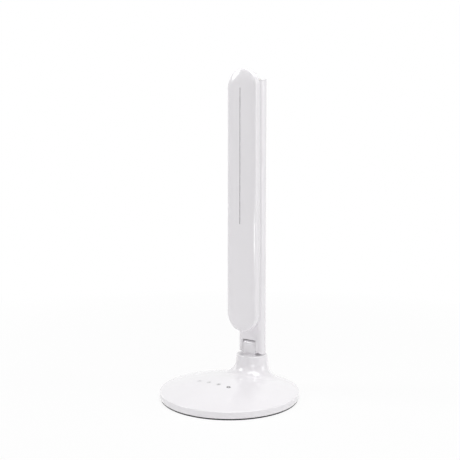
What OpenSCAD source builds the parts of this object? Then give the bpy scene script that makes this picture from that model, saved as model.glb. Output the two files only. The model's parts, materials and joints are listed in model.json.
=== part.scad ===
// Folding LED desk lamp: a round weighted base with a rear neck, an arm that
// tilts on the neck and a slim light head that folds down against the arm.
// Millimetres. +Z is up, the front is -Y, and the origin is the centre of the
// base's underside. It is drawn closed: arm upright, head folded down.

/* [Base] */
// Diameter of the round base
base_d = 175; // [165:1:190]
// Height of the base's rim above the table
rim_h = 10.2; // [9.6:0.1:12]
// Rise of the domed top above the rim
dome_rise = 13.2; // [12:0.1:14]
// Wall of the base cover
base_wall = 2.2; // [1.8:0.1:2.6]
// Radius of the rim's top edge
rim_edge = 1.3; // [0.8:0.1:2]
// Thickness of the rubber pad
pad_t = 1.9; // [1.5:0.1:2.2]
// How far the pad's edge stands in from the rim
pad_inset = 1.2; // [0.8:0.1:2.5]
// Thickness of the steel floor plate
plate_t = 2.4; // [2.2:0.1:2.8]
// Gap between the cast ballast weight and the screw posts round it
ballast_gap = 4.4; // [3:0.2:12]
// Thickness of the ballast weight
ballast_t = 7.5; // [5:0.5:8]

/* [Neck] */
// Distance from the rim's back to the middle of the arm
neck_inset = 37.5; // [36:0.5:40]
// Height of the neck's top
neck_h = 45.2; // [43:0.2:50]
// How far the neck stands out on each side of the arm
neck_side = 1.9; // [1.5:0.1:4]
// Depth of the neck's land in front of the knuckle
neck_front = 12.2; // [10:0.2:14]
// Depth of the neck's land behind the knuckle
neck_back = 9.4; // [6:0.2:10]
// Squareness of the neck's oval outline
neck_square = 2.1; // [2:0.1:3]
// How much the neck spreads on each side down to its foot, before the fillets
neck_taper = 2.2; // [1:0.1:3]
// Fillet between the neck's front and the dome
neck_fillet_front = 13; // [10:0.5:16]
// Fillet between the neck's sides and the dome
neck_fillet_side = 15; // [8:0.5:16]
// Fillet between the neck's back and the dome
neck_fillet_back = 8; // [6:0.5:9]

/* [Hinges] */
// Clearance between the neck's top and the arm's turning end
neck_clear = 0.7; // [0.6:0.1:1.5]
// Distance between the lower and the upper hinge pin
arm_reach = 340.3; // [300:0.1:360]
// Width of the knuckle that sits in each fork
knuckle_w = 19.2; // [18:0.1:20]
// Diameter of the hinge pins
pin_d = 6; // [5:0.1:6.4]
// Length of the hinge pins
pin_l = 30; // [27:0.5:32]
// Radial running clearance of the pins
pin_fit = 0.05; // [0.02:0.01:0.08]
// Wall of the friction sleeve round each pin
sleeve_t = 1.1; // [0.8:0.1:1.3]
// Thickness of the friction washers
washer_t = 0.4; // [0.3:0.05:0.6]
// Diameter of the friction washers
washer_d = 14; // [11:0.5:15]
// Corner radius of the square ends that turn in the lower hinge
end_round = 5.2; // [4:0.1:7]
// Clearance between a knuckle's turning end and its fork
fork_clear = 0.5; // [0.4:0.1:1]

/* [Arm] */
// Width of the arm
arm_w = 36.6; // [35:0.2:38]
// Thickness of the arm, front to back
arm_t = 16; // [15.6:0.1:16.4]
// Radius of the arm's upright edges
arm_edge = 6; // [4:0.2:7]
// Wall of the arm's shells
arm_wall = 1.8; // [1.5:0.1:2.2]
// How far the arm's top falls from its back to its front
arm_top_slant = 3.8; // [2:0.2:5]
// Clearance of the arm's rear top edge as the head swings over it
arm_top_clear = 0.5; // [0.4:0.1:1.5]
// Number of screws down the back of the arm
arm_screw_n = 4; // [3:1:6]
// Width of the steel bar inside the arm
spine_w = 22; // [16:1:26]
// Thickness of the steel bar inside the arm
spine_t = 2; // [1.5:0.1:3]

/* [Head] */
// Height of the folded head's lower end above the lower pin
head_foot = 23.3; // [18:0.1:40]
// Width of the light head
head_w = 45; // [43:0.5:47]
// Thickness of the light head
head_t = 17; // [16.6:0.1:17.4]
// Length of each rounded end
head_end = 24.5; // [20:0.5:28]
// Height of the head's top above the upper pin
head_over = 18; // [16:0.5:19]
// Gap between the folded head and the arm
head_gap = 3.4; // [3.3:0.1:3.8]
// Depth of the crowned top cover
cover_depth = 9.4; // [9:0.1:9.8]
// Depth of the crown, within the top cover
crown_depth = 4.9; // [4:0.1:5.5]
// Width of the rounding on the frame's lit side
frame_round = 6; // [5.4:0.1:6.4]
// Wall of the head's cover and frame
head_wall = 1.7; // [1.5:0.1:1.8]

/* [Vents] */
// Number of vent slots
vent_n = 17; // [9:1:20]
// Length of each vent slot
vent_l = 9.3; // [8:0.1:9.4]
// Bridge left between two slots
vent_bridge = 0.85; // [0.7:0.05:2]
// Width of each vent slot
vent_w = 1.4; // [1:0.1:2]
// Distance from the head's top to the first slot
vent_start = 24.7; // [22:0.1:30]

/* [Light] */
// Distance from the head's lower end to the lit window
window_start = 22; // [20:0.5:26]
// Gap between the lit window and the hinge plate
window_gap = 19.5; // [18:0.5:40]
// Width of the lit window
window_w = 28; // [24:0.5:29]
// Number of rows of light chips along the board
led_rows = 20; // [12:1:24]
// Thickness of the light board
board_t = 1.2; // [1:0.1:1.4]
// Thickness of the heat plate
heat_t = 1.5; // [1.2:0.1:1.6]
// Depth of the white reflector
reflector_h = 2.6; // [2.2:0.1:3]

/* [Touch panel and power] */
// Distance of the touch keys in front of the base's centre
touch_y = 32; // [28:0.5:34]
// Spacing of the four touch keys
touch_pitch = 15.2; // [13:0.1:16]
// Cover left above the touch board's front corners
touch_skin = 2.6; // [2:0.1:3.4]
// Width of the power socket
socket_w = 9; // [8.4:0.1:9.6]
// Height of the power socket
socket_h = 3.2; // [2.8:0.1:3.4]
// Height of the power socket's centre above the table
socket_z = 6.1; // [6:0.1:6.4]
// Diameter of the wires
wire_d = 2.6; // [2:0.1:3]

/* [Hidden] */

$fn = 64;
eps = 0.01;
part_gap = 0.1;                     // between pieces of one body
end_gap = 0.5;                      // between the ends of two pieces
white = [0.93, 0.93, 0.92];
inner_white = [0.88, 0.88, 0.86];
steel = [0.62, 0.63, 0.65];
board_green = [0.12, 0.35, 0.22];

// Screws: one small size is used all over the lamp
screw_r = 1.45;
screw_hole_r = 1.5;
screw_head_r = 2.8;
screw_head_h = 1.3;
screw_socket_r = 0.9;
screw_boss_r = 3.4;

// Base
base_r = base_d / 2;
pad_r = base_r - pad_inset;
plate_z = pad_t + plate_t;
plate_r = base_r - base_wall - 2 * part_gap;
dome_top = rim_h + dome_rise;
dome_edge_r = base_r - rim_edge;
dome_sphere_r = (dome_edge_r * dome_edge_r + dome_rise * dome_rise) / (2 * dome_rise);
base_screw_inset = 14;
base_screw_r = base_r - base_screw_inset;
base_screw_bite = 4.5;              // of a screw in its post
function dome_z(r) = dome_top - dome_sphere_r + sqrt(dome_sphere_r * dome_sphere_r - r * r);

// Hinges
knuckle_r = arm_t / 2;
end_reach = (knuckle_r - end_round) * sqrt(2) + end_round;
pin_r = pin_d / 2;
sleeve_r = pin_r + pin_fit + sleeve_t;
fork_w = knuckle_w + 2 * washer_t + 4 * part_gap;
fork_floor = end_reach + fork_clear;
tilt_z = neck_h + neck_clear + end_reach;
head_z = tilt_z + arm_reach;

// Foot of the lower knuckle
foot_t = 3;
foot_flange = 7.4;
foot_w = knuckle_w + 2 * foot_flange;
foot_d = arm_t + 8;
foot_screw_x = (knuckle_w + foot_w) / 4;
foot_screw_y = foot_d / 2 - 4;
foot_screw_bite = 2.5;

// Arm and neck
neck_y = base_r - neck_inset;
front_y = neck_y - arm_t / 2;
back_y = neck_y + arm_t / 2;
neck_w = arm_w + 2 * neck_side;
neck_d = arm_t + neck_front + neck_back;
neck_mid_y = neck_y + (neck_back - neck_front) / 2;
neck_lip = 1.4;
neck_roof = 3.5;
web = 8;
cavity_z0 = tilt_z + fork_floor + web;
cavity_z1 = head_z - fork_floor - web;
arm_screw_end = 12;
arm_screw_z0 = cavity_z0 + arm_screw_end;
arm_screw_pitch = (cavity_z1 - cavity_z0 - 2 * arm_screw_end) / (arm_screw_n - 1);
arm_wire_x = spine_w / 2 - 3.5;
arm_wire_y = front_y + arm_wall + wire_d / 2 + part_gap / 2;
top_chamfer = 1;
arm_top_back = sqrt(pow(knuckle_r + head_gap - arm_top_clear, 2) - knuckle_r * knuckle_r);
arm_top_front = arm_top_back - arm_top_slant;

// Ballast
ballast_y = -10;
ballast_back = neck_y - foot_d / 2 - 3;
ballast_r = norm([base_screw_r / sqrt(2), base_screw_r / sqrt(2) + ballast_y])
            - screw_boss_r - ballast_gap;
ballast_screw_r = ballast_r - 20;
ballast_screw_bite = 5.5;

// Head
half_w = head_w / 2;
head_z1 = head_z + head_over;
head_z0 = tilt_z + head_foot;
lit_y = front_y - head_gap;
crown_y = lit_y - head_t;
seam_y = crown_y + cover_depth;
frame_depth = lit_y - seam_y;
outline_n = 24;
crown_n = 6;
neck_n = 44;
crown_flat = 4;
floor_y = lit_y - head_wall;
flange_t = 1.2;
flange_w = 1.2;
reflector_y = floor_y - flange_t;
board_y = reflector_y - reflector_h;
heat_y = board_y - board_t;
hinge_flange = 4.9;
hinge_plate_t = 2.6;
hinge_plate_w = knuckle_w + 2 * hinge_flange;
hinge_plate_h = arm_t + 11;
plate_y = floor_y - hinge_plate_t;
vent_pitch = vent_l + vent_bridge;
window_z0 = head_z0 + window_start;
window_z1 = head_z - hinge_plate_h / 2 - window_gap;
window_l = window_z1 - window_z0;
heat_w = window_w + 1;
heat_round = 10;
heat_end = 7;
heat_z0 = head_z0 + heat_end;
heat_z1 = head_z - hinge_plate_h / 2 - end_gap;
heat_screw_x = 6;
heat_screw_z0 = heat_z0 + 5.5;
heat_screw_z1 = (window_z1 + flange_w + heat_z1) / 2;
heat_screw_bite = 3.5;

// Touch panel and power
touch_w = 4 * touch_pitch + 1;
touch_d = 15;
touch_z = dome_z(norm([touch_w / 2, touch_y + touch_d / 2])) - touch_skin;
spring_h = 0.6;
socket_l = 7;
socket_inset = 0.4;
socket_y0 = base_r - socket_inset - socket_l;
control_w = 40;
control_gap = 4.4;
control_lift = 0.8;
control_y0 = neck_y + foot_d / 2 + control_gap;
control_y1 = sqrt(pow(base_r - base_wall - end_gap, 2) - pow(control_w / 2, 2));
control_z = plate_z + control_lift;
control_post_x = control_w / 2 - 4;
control_post_y = (control_y1 - control_y0) / 2 - 3;
wire_clear = 0.3;
base_wire_x = 6;
base_wire_y = neck_y + 3;
base_wire_z = plate_z + foot_t + wire_d / 2 + wire_clear;
base_wire_lead = 8;

// ---------- shared shapes ----------

// A flat shape drawn in Y and Z, given a width w across X
module across_x(w) {
    rotate([90, 0, 90])
        linear_extrude(w, center = true)
            children();
}

// A flat shape drawn in X and Z, from y0 back to y1
module along_y(y0, y1) {
    translate([0, y1, 0])
        rotate([90, 0, 0])
            linear_extrude(y1 - y0)
                children();
}

// A rectangle with round corners, centred
module round_rect(w, h, r) {
    square([w - 2 * r, h], center = true);
    square([w, h - 2 * r], center = true);
    for (x = [-1, 1], y = [-1, 1])
        translate([x * (w / 2 - r), y * (h / 2 - r)])
            circle(r);
}

// A closed skin through rings of points, the first and last ring capped
module loft(rings) {
    n = len(rings[0]);
    m = len(rings);
    side = [for (i = [0 : m - 2], k = [0 : n - 1])
        let (a = i * n + k, b = i * n + (k + 1) % n)
            [a, a + n, b + n, b]];
    first = [for (k = [0 : n - 1]) k];
    last = [for (k = [0 : n - 1]) m * n - 1 - k];
    polyhedron([for (ring = rings) each ring], concat([first], side, [last]));
}

// A round bar along X through a hinge
module hinge_bar(z, r, l) {
    translate([-l / 2, neck_y, z])
        rotate([0, 90, 0])
            cylinder(h = l, r = r);
}

// A wire through a list of points
module wire(points) {
    for (i = [0 : len(points) - 2]) {
        d = points[i + 1] - points[i];
        translate(points[i])
            rotate([0, acos(d[2] / norm(d)), atan2(d[1], d[0])])
                cylinder(h = norm(d), d = wire_d, $fn = 24);
    }
    for (i = [1 : 1 : len(points) - 2])
        translate(points[i])
            sphere(d = wire_d, $fn = 24);
}

// A pan head screw standing on its head, with a plain shank of length l
module screw(l) {
    difference() {
        union() {
            cylinder(h = screw_head_h, r = screw_head_r, $fn = 32);
            cylinder(h = screw_head_h + l, r = screw_r, $fn = 32);
        }
        translate([0, 0, -eps])
            cylinder(h = 0.8, r = screw_socket_r, $fn = 6);
    }
}

// Steps round the corners of a rectangle
module at_corners(x, y) {
    for (sx = [-1, 1], sy = [-1, 1])
        translate([sx * x, sy * y, 0])
            children();
}

module at_base_screws() {
    for (a = [45 : 90 : 315])
        rotate(a)
            translate([base_screw_r, 0, 0])
                children();
}

module at_ballast_screws() {
    for (a = [30, 150, 270])
        translate([0, ballast_y, 0])
            rotate(a)
                translate([ballast_screw_r, 0, 0])
                    children();
}

module at_foot_screws() {
    translate([0, neck_y, 0])
        at_corners(foot_screw_x, foot_screw_y)
            children();
}

// ---------- base ----------

module foot_pad() {
    groove_r = [for (k = [1 : 3]) pad_r * k / 4];
    color([0.09, 0.09, 0.1])
    difference() {
        rotate_extrude($fn = 128)
            polygon([[0, 0], [pad_r - 0.5, 0], [pad_r, 0.5], [pad_r, pad_t], [0, pad_t]]);
        for (r = groove_r)
            translate([0, 0, -eps])
                rotate_extrude($fn = 128)
                    translate([r, 0])
                        square([1.6, 0.5]);
    }
}

// Pocket for a screw head in the floor plate, with its clearance hole
module plate_screw_hole() {
    translate([0, 0, pad_t - eps])
        cylinder(h = screw_head_h + part_gap, r = screw_head_r + 2 * part_gap, $fn = 32);
    translate([0, 0, pad_t])
        cylinder(h = plate_t + eps, r = screw_hole_r, $fn = 32);
}

module base_plate() {
    color(steel)
    difference() {
        union() {
            translate([0, 0, pad_t])
                cylinder(h = plate_t, r = plate_r, $fn = 128);
            translate([0, (control_y0 + control_y1) / 2, plate_z - eps])
                at_corners(control_post_x, control_post_y)
                    cylinder(h = control_z - plate_z + eps, r = 2.4, $fn = 32);
        }
        at_base_screws() plate_screw_hole();
        at_ballast_screws() plate_screw_hole();
        at_foot_screws() plate_screw_hole();
    }
}

module ballast_weight() {
    color([0.3, 0.3, 0.31])
    difference() {
        intersection() {
            translate([0, ballast_y, plate_z])
                cylinder(h = ballast_t, r = ballast_r, $fn = 96);
            translate([-base_r, -base_r, plate_z])
                cube([base_d, base_r + ballast_back, ballast_t]);
        }
        at_ballast_screws()
            translate([0, 0, plate_z - eps])
                cylinder(h = ballast_screw_bite + end_gap, r = screw_hole_r, $fn = 32);
    }
}

// Half section of the domed body above z0, drawn in by a wall
module dome_half(inset, z0) {
    intersection() {
        translate([0, dome_top - dome_sphere_r])
            circle(dome_sphere_r - inset, $fn = 720);
        translate([0, z0])
            square([dome_edge_r - inset, dome_top]);
    }
}

// Half section of the rim, with its round top edge and bevelled lower edge
module rim_half() {
    bevel = 0.8;
    polygon(concat(
        [[0, pad_t], [base_r - bevel, pad_t], [base_r, pad_t + 1.6 * bevel]],
        [for (a = [0 : 15 : 90])
            [dome_edge_r + rim_edge * cos(a), rim_h - rim_edge * (1 - sin(a))]],
        [[0, rim_h]]));
}

// Oval outline of the neck at a height, grown by a taper and by its fillets
function fillet(z, root, r) =
    z >= root + r ? 0 : z <= root ? r : r - sqrt(r * r - pow(root + r - z, 2));
function oval(a) = sign(a) * pow(abs(a), 2 / neck_square);
function neck_ring(z, inset) =
    let (grow = neck_taper * (neck_h - z) / (neck_h - dome_top) - inset,
         side = fillet(z, dome_z(norm([neck_w / 2, neck_y])), neck_fillet_side),
         front = fillet(z, dome_z(neck_mid_y - neck_d / 2 - neck_fillet_front),
                        neck_fillet_front),
         back = fillet(z, dome_z(neck_mid_y + neck_d / 2), neck_fillet_back))
    [for (k = [0 : neck_n - 1])
        let (a = 360 * (k + 0.5) / neck_n)
            [(neck_w / 2 + grow + side) * oval(cos(a)),
             neck_mid_y + (neck_d / 2 + grow + (a < 180 ? back : front)) * oval(sin(a)),
             z]];

module neck_body() {
    low = rim_h - 2;
    levels = 14;
    step = (neck_h - neck_lip - low) / levels;
    loft(concat(
        [for (k = [0 : levels]) neck_ring(low + k * step, 0)],
        [for (a = [30, 60, 90])
            neck_ring(neck_h - neck_lip * (1 - sin(a)), neck_lip * (1 - cos(a)))]));
}

module base_cover() {
    boss_top = dome_z(base_screw_r) - base_wall / 2;
    color(white)
    difference() {
        union() {
            difference() {
                union() {
                    rotate_extrude($fn = 180) {
                        rim_half();
                        dome_half(0, pad_t + 1);
                    }
                    neck_body();
                }
                // the hollow under the dome, up to the flat land behind the touch keys
                difference() {
                    translate([0, 0, -eps])
                        rotate_extrude($fn = 180) {
                            dome_half(base_wall, 0);
                            square([base_r - base_wall, rim_h - rim_edge]);
                        }
                    translate([-touch_w / 2 - 1, -touch_y - touch_d / 2 - 1, touch_z])
                        cube([touch_w + 2, touch_d + 2, dome_top]);
                }
                // the hollow up the neck
                linear_extrude(neck_h - neck_roof)
                    polygon([for (p = neck_ring(neck_h, base_wall)) [p[0], p[1]]]);
            }
            at_base_screws()
                translate([0, 0, plate_z])
                    cylinder(h = boss_top - plate_z, r = screw_boss_r, $fn = 32);
        }
        at_base_screws()
            translate([0, 0, plate_z - eps])
                cylinder(h = base_screw_bite + end_gap, r = screw_hole_r, $fn = 32);
        // the window that the knuckle stands up through
        translate([-knuckle_w / 2 - part_gap, front_y - part_gap, 0])
            cube([knuckle_w + 2 * part_gap, arm_t + 2 * part_gap, neck_h + 1]);
        // the mouth of the power socket
        along_y(base_r - base_wall - 3, base_r + 1)
            translate([0, socket_z])
                round_rect(socket_w + 2 * part_gap, socket_h + 2 * part_gap,
                           socket_h / 2 + part_gap - eps);
    }
}

module base_screws() {
    color(steel) {
        at_base_screws()
            translate([0, 0, pad_t])
                screw(plate_t - screw_head_h + base_screw_bite);
        at_ballast_screws()
            translate([0, 0, pad_t])
                screw(plate_t - screw_head_h + ballast_screw_bite);
    }
}

module touch_board() {
    spring_r = 2.5;
    color(board_green)
    translate([-touch_w / 2, -touch_y - touch_d / 2, touch_z - board_t])
        cube([touch_w, touch_d, board_t]);
    color(steel)
    for (i = [-1.5 : 1.5])
        translate([i * touch_pitch, -touch_y, touch_z - board_t - spring_h])
            cylinder(h = spring_h + eps, r = spring_r, $fn = 32);
}

// Flat cable from the touch board back over the ballast to the control board
module touch_ribbon() {
    t = 0.3;
    x = -17;
    w = 6;
    under = touch_z - board_t - t;
    over = plate_z + ballast_t + part_gap;
    path = [[-touch_y + touch_d / 2 - 4, under],
            [-touch_y + touch_d / 2 + 1, under],
            [-touch_y + touch_d / 2 + 6, over],
            [ballast_back, over],
            [control_y0 - 2, control_z + board_t + 2],
            [control_y0 + 2, control_z + board_t + part_gap],
            [control_y0 + 6, control_z + board_t + part_gap]];
    n = len(path);
    color([0.85, 0.7, 0.4])
    translate([x, 0, 0])
        across_x(w)
            polygon(concat(path, [for (k = [n - 1 : -1 : 0]) path[k] + [0, t]]));
}

module control_board() {
    mid_y = (control_y0 + control_y1) / 2;
    top = control_z + board_t;
    color(board_green)
    difference() {
        translate([-control_w / 2, control_y0, control_z])
            cube([control_w, control_y1 - control_y0, board_t]);
        translate([-socket_w / 2 - part_gap, socket_y0 - part_gap, 0])
            cube([socket_w + 2 * part_gap, socket_l, control_z + 2 * board_t]);
    }
    // controller chip, driver, coil and capacitors
    color([0.12, 0.12, 0.13]) {
        translate([-3.5, control_y0 + 2, top - eps])
            cube([7, 5, 1 + eps]);
        translate([-13.5, mid_y - 1, top - eps])
            cube([4, 3, 1 + eps]);
        translate([12, mid_y - 3.5, top - eps])
            cylinder(h = 1.6, r = 2.2, $fn = 32);
    }
}

module power_inlet() {
    wall = 0.35;
    r = socket_h / 2 - eps;
    color(steel)
    translate([0, 0, socket_z])
    difference() {
        along_y(socket_y0, socket_y0 + socket_l)
            round_rect(socket_w, socket_h, r);
        along_y(socket_y0 + 1, socket_y0 + socket_l + 1)
            round_rect(socket_w - 2 * wall, socket_h - 2 * wall, r - wall);
    }
    color([0.15, 0.15, 0.16])
    translate([0, 0, socket_z])
        along_y(socket_y0 + 1 - eps, socket_y0 + socket_l - 1)
            square([socket_w - 2.6, 0.7], center = true);
}

module base_wire() {
    color([0.85, 0.85, 0.85])
    wire([[base_wire_x, control_y0 + base_wire_lead, base_wire_z],
          [base_wire_x, base_wire_y, base_wire_z],
          [base_wire_x, base_wire_y, tilt_z - sleeve_r - 3]]);
}

// ---------- lower hinge ----------

// Side view of the square, round-cornered ends that turn in the lower hinge
module turning_end() {
    translate([neck_y, tilt_z])
        round_rect(arm_t, arm_t, end_round);
}

module tilt_knuckle() {
    passage_r = wire_d / 2 + wire_clear;
    color(white)
    difference() {
        union() {
            across_x(knuckle_w) {
                turning_end();
                translate([front_y, plate_z])
                    square([arm_t, tilt_z - plate_z]);
            }
            translate([-foot_w / 2, neck_y - foot_d / 2, plate_z])
                cube([foot_w, foot_d, foot_t]);
        }
        hinge_bar(tilt_z, sleeve_r, knuckle_w + 2);
        at_foot_screws()
            translate([0, 0, plate_z - eps])
                cylinder(h = foot_t + 2 * eps, r = screw_hole_r, $fn = 32);
        // passage for the wire
        translate([base_wire_x, base_wire_y, base_wire_z])
            cylinder(h = tilt_z - sleeve_r - 2.5 - base_wire_z, r = passage_r, $fn = 32);
        translate([base_wire_x, base_wire_y, base_wire_z])
            rotate([-90, 0, 0])
                cylinder(h = arm_t, r = passage_r, $fn = 32);
        translate([base_wire_x, base_wire_y, base_wire_z])
            sphere(passage_r, $fn = 32);
    }
}

module knuckle_screws() {
    color(steel)
    at_foot_screws()
        translate([0, 0, pad_t])
            screw(plate_t - screw_head_h + foot_screw_bite);
}

// Curled spring sleeve that grips the pin, slit along its top
module friction_sleeve(z) {
    color(steel)
    difference() {
        hinge_bar(z, sleeve_r - 0.02, knuckle_w - 2);
        hinge_bar(z, pin_r + pin_fit, knuckle_w);
        translate([-knuckle_w, neck_y - 0.4, z])
            cube([2 * knuckle_w, 0.8, 2 * sleeve_r]);
    }
}

module tilt_friction_sleeve() {
    friction_sleeve(tilt_z);
}

module hinge_pin(z) {
    tip = 0.5;
    color(steel)
    hinge_bar(z, pin_r, pin_l - 2 * tip);
    color(steel)
    for (s = [-1, 1])
        translate([s * (pin_l / 2 - tip), neck_y, z])
            rotate([0, s * 90, 0])
                cylinder(h = tip, r1 = pin_r, r2 = pin_r - tip);
}

module hinge_washers(z) {
    color([0.8, 0.78, 0.7])
    for (s = [-1, 1])
        translate([s * (knuckle_w / 2 + part_gap + washer_t / 2), 0, 0])
            difference() {
                hinge_bar(z, washer_d / 2, washer_t);
                hinge_bar(z, pin_r + pin_fit, washer_t + 1);
            }
}

module tilt_pin() {
    hinge_pin(tilt_z);
}

module tilt_washers() {
    hinge_washers(tilt_z);
}

// ---------- arm ----------

// Side view of the arm: square lower end, slanted top with broken edges
module arm_side() {
    f = head_z + arm_top_front;
    b = head_z + arm_top_back;
    turning_end();
    polygon([[front_y, tilt_z], [back_y, tilt_z], [back_y, b - top_chamfer],
             [back_y - top_chamfer, b], [front_y + top_chamfer, f],
             [front_y, f - top_chamfer]]);
}

module arm_solid() {
    intersection() {
        translate([0, neck_y, tilt_z - knuckle_r - 1])
            linear_extrude(arm_reach + 2 * knuckle_r + arm_top_back)
                round_rect(arm_w, arm_t, arm_edge);
        across_x(arm_w + 2)
            arm_side();
    }
}

module at_arm_screws() {
    for (k = [0 : arm_screw_n - 1])
        translate([0, 0, arm_screw_z0 + k * arm_screw_pitch])
            children();
}

// Everything that both arm shells are cut by
module arm_hollows() {
    // lower fork, upper fork
    translate([-fork_w / 2, front_y - 1, tilt_z - arm_t])
        cube([fork_w, arm_t + 2, arm_t + fork_floor]);
    translate([-fork_w / 2, front_y - 1, head_z - fork_floor])
        cube([fork_w, arm_t + 2, arm_t * 2]);
    // pin seats
    hinge_bar(tilt_z, pin_r + pin_fit, pin_l + 4 * part_gap);
    hinge_bar(head_z, pin_r + pin_fit, pin_l + 4 * part_gap);
    // passage for the wire through both webs
    translate([arm_wire_x, arm_wire_y, tilt_z])
        cylinder(h = arm_reach, r = wire_d / 2 + part_gap, $fn = 32);
    difference() {
        translate([0, neck_y, cavity_z0])
            linear_extrude(cavity_z1 - cavity_z0)
                round_rect(arm_w - 2 * arm_wall, arm_t - 2 * arm_wall, arm_edge - arm_wall);
        at_arm_screws()
            translate([0, front_y, 0])
                rotate([-90, 0, 0])
                    cylinder(h = arm_t, r = screw_boss_r, $fn = 32);
    }
    // seat of the steel bar
    translate([-spine_w / 2 - part_gap, neck_y - spine_t / 2, cavity_z0])
        cube([spine_w + 2 * part_gap, spine_t, cavity_z1 - cavity_z0]);
    // screw holes, with a counterbore at the back
    at_arm_screws() {
        translate([0, front_y + arm_wall, 0])
            rotate([-90, 0, 0])
                cylinder(h = arm_t, r = screw_hole_r, $fn = 32);
        translate([0, back_y - screw_head_h - part_gap, 0])
            rotate([-90, 0, 0])
                cylinder(h = screw_head_h + 1, r = screw_head_r + part_gap, $fn = 32);
    }
}

module arm_front_shell() {
    color(white)
    difference() {
        arm_solid();
        arm_hollows();
        translate([-arm_w, neck_y, 0])
            cube([2 * arm_w, arm_t, head_z * 2]);
    }
}

module arm_rear_shell() {
    color(white)
    difference() {
        arm_solid();
        arm_hollows();
        translate([-arm_w, neck_y - arm_t, 0])
            cube([2 * arm_w, arm_t, head_z * 2]);
    }
}

module arm_spine() {
    color(steel)
    difference() {
        translate([-spine_w / 2, neck_y - spine_t / 2, cavity_z0 + part_gap])
            cube([spine_w, spine_t, cavity_z1 - cavity_z0 - 2 * part_gap]);
        at_arm_screws()
            translate([0, neck_y - spine_t, 0])
                rotate([-90, 0, 0])
                    cylinder(h = 2 * spine_t, r = screw_hole_r, $fn = 32);
    }
}

module arm_wire() {
    color([0.85, 0.85, 0.85])
    wire([[arm_wire_x, arm_wire_y, tilt_z + fork_floor],
          [arm_wire_x, arm_wire_y, head_z - fork_floor]]);
}

module arm_screws() {
    color(steel)
    at_arm_screws()
        translate([0, back_y - part_gap, 0])
            rotate([90, 0, 0])
                screw(arm_t - screw_head_h - arm_wall - 1);
}

// ---------- upper hinge ----------

module head_pin() {
    hinge_pin(head_z);
}

module head_washers() {
    hinge_washers(head_z);
}

module head_friction_sleeve() {
    friction_sleeve(head_z);
}

module at_hinge_plate_screws() {
    x = (knuckle_w + hinge_plate_w) / 4;
    for (s = [-1, 1], z = [1, 3 - hinge_plate_h / 2])
        translate([s * x, 0, head_z + z])
            children();
}

// Lug on the pin, with the plate that is screwed inside the frame
module head_knuckle() {
    color(white)
    difference() {
        union() {
            across_x(knuckle_w) {
                translate([neck_y, head_z])
                    circle(knuckle_r);
                translate([plate_y, head_z - knuckle_r])
                    square([neck_y - plate_y, 2 * knuckle_r]);
            }
            along_y(plate_y, floor_y)
                intersection() {
                    head_outline(frame_round + part_gap);
                    translate([0, head_z])
                        square([hinge_plate_w, hinge_plate_h], center = true);
                }
        }
        hinge_bar(head_z, sleeve_r, knuckle_w + 2);
        at_hinge_plate_screws()
            translate([0, plate_y - 1, 0])
                rotate([-90, 0, 0])
                    cylinder(h = floor_y - plate_y + 2, r = screw_hole_r, $fn = 32);
    }
}

module head_knuckle_screws() {
    color(steel)
    at_hinge_plate_screws()
        translate([0, plate_y - screw_head_h, 0])
            rotate([-90, 0, 0])
                screw(floor_y - plate_y + head_wall - 0.6);
}

// ---------- head ----------

// The head's outline drawn in by d, as a ring of points at a depth y
function head_ring(d, y) =
    [for (k = [0 : outline_n])
        let (a = 180 * k / outline_n)
            [(half_w - d) * cos(a), y, head_z1 - head_end + (head_end - d) * sin(a)],
     for (k = [0 : outline_n])
        let (a = 180 + 180 * k / outline_n)
            [(half_w - d) * cos(a), y, head_z0 + head_end + (head_end - d) * sin(a)]];

// The same outline as a flat shape in X and Z
module head_outline(d) {
    polygon([for (p = head_ring(d, 0)) [p[0], p[2]]]);
}

// The frame's bowl: an oval section from the seam to the lit face
function frame_rings(wall) =
    [for (a = [90 : -15 : 0])
        head_ring(frame_round - (frame_round - wall) * cos(a),
                  seam_y + (frame_depth - wall) * sin(a))];

// The cover's crown: a squarish oval section from the seam to the front
function crown_in(a) = half_w - crown_flat - (half_w - crown_flat) * pow(cos(a), 0.8);
function crown_rings(wall) =
    concat([head_ring(wall, seam_y)],
           [for (k = [0 : crown_n])
               let (a = 90 * k / crown_n)
                   head_ring(wall + (1 - wall / half_w) * crown_in(a),
                             crown_y + crown_depth - (crown_depth - wall) * pow(sin(a), 0.8))]);

// The lit window's outline, grown by g
module window_shape(g) {
    translate([0, (window_z0 + window_z1) / 2])
        round_rect(window_w + 2 * g, window_l + 2 * g, window_w / 2 + g - eps);
}

module at_heat_screws() {
    for (x = [-1, 1], z = [heat_screw_z0, heat_screw_z1])
        translate([x * heat_screw_x, 0, z])
            children();
}

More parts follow.
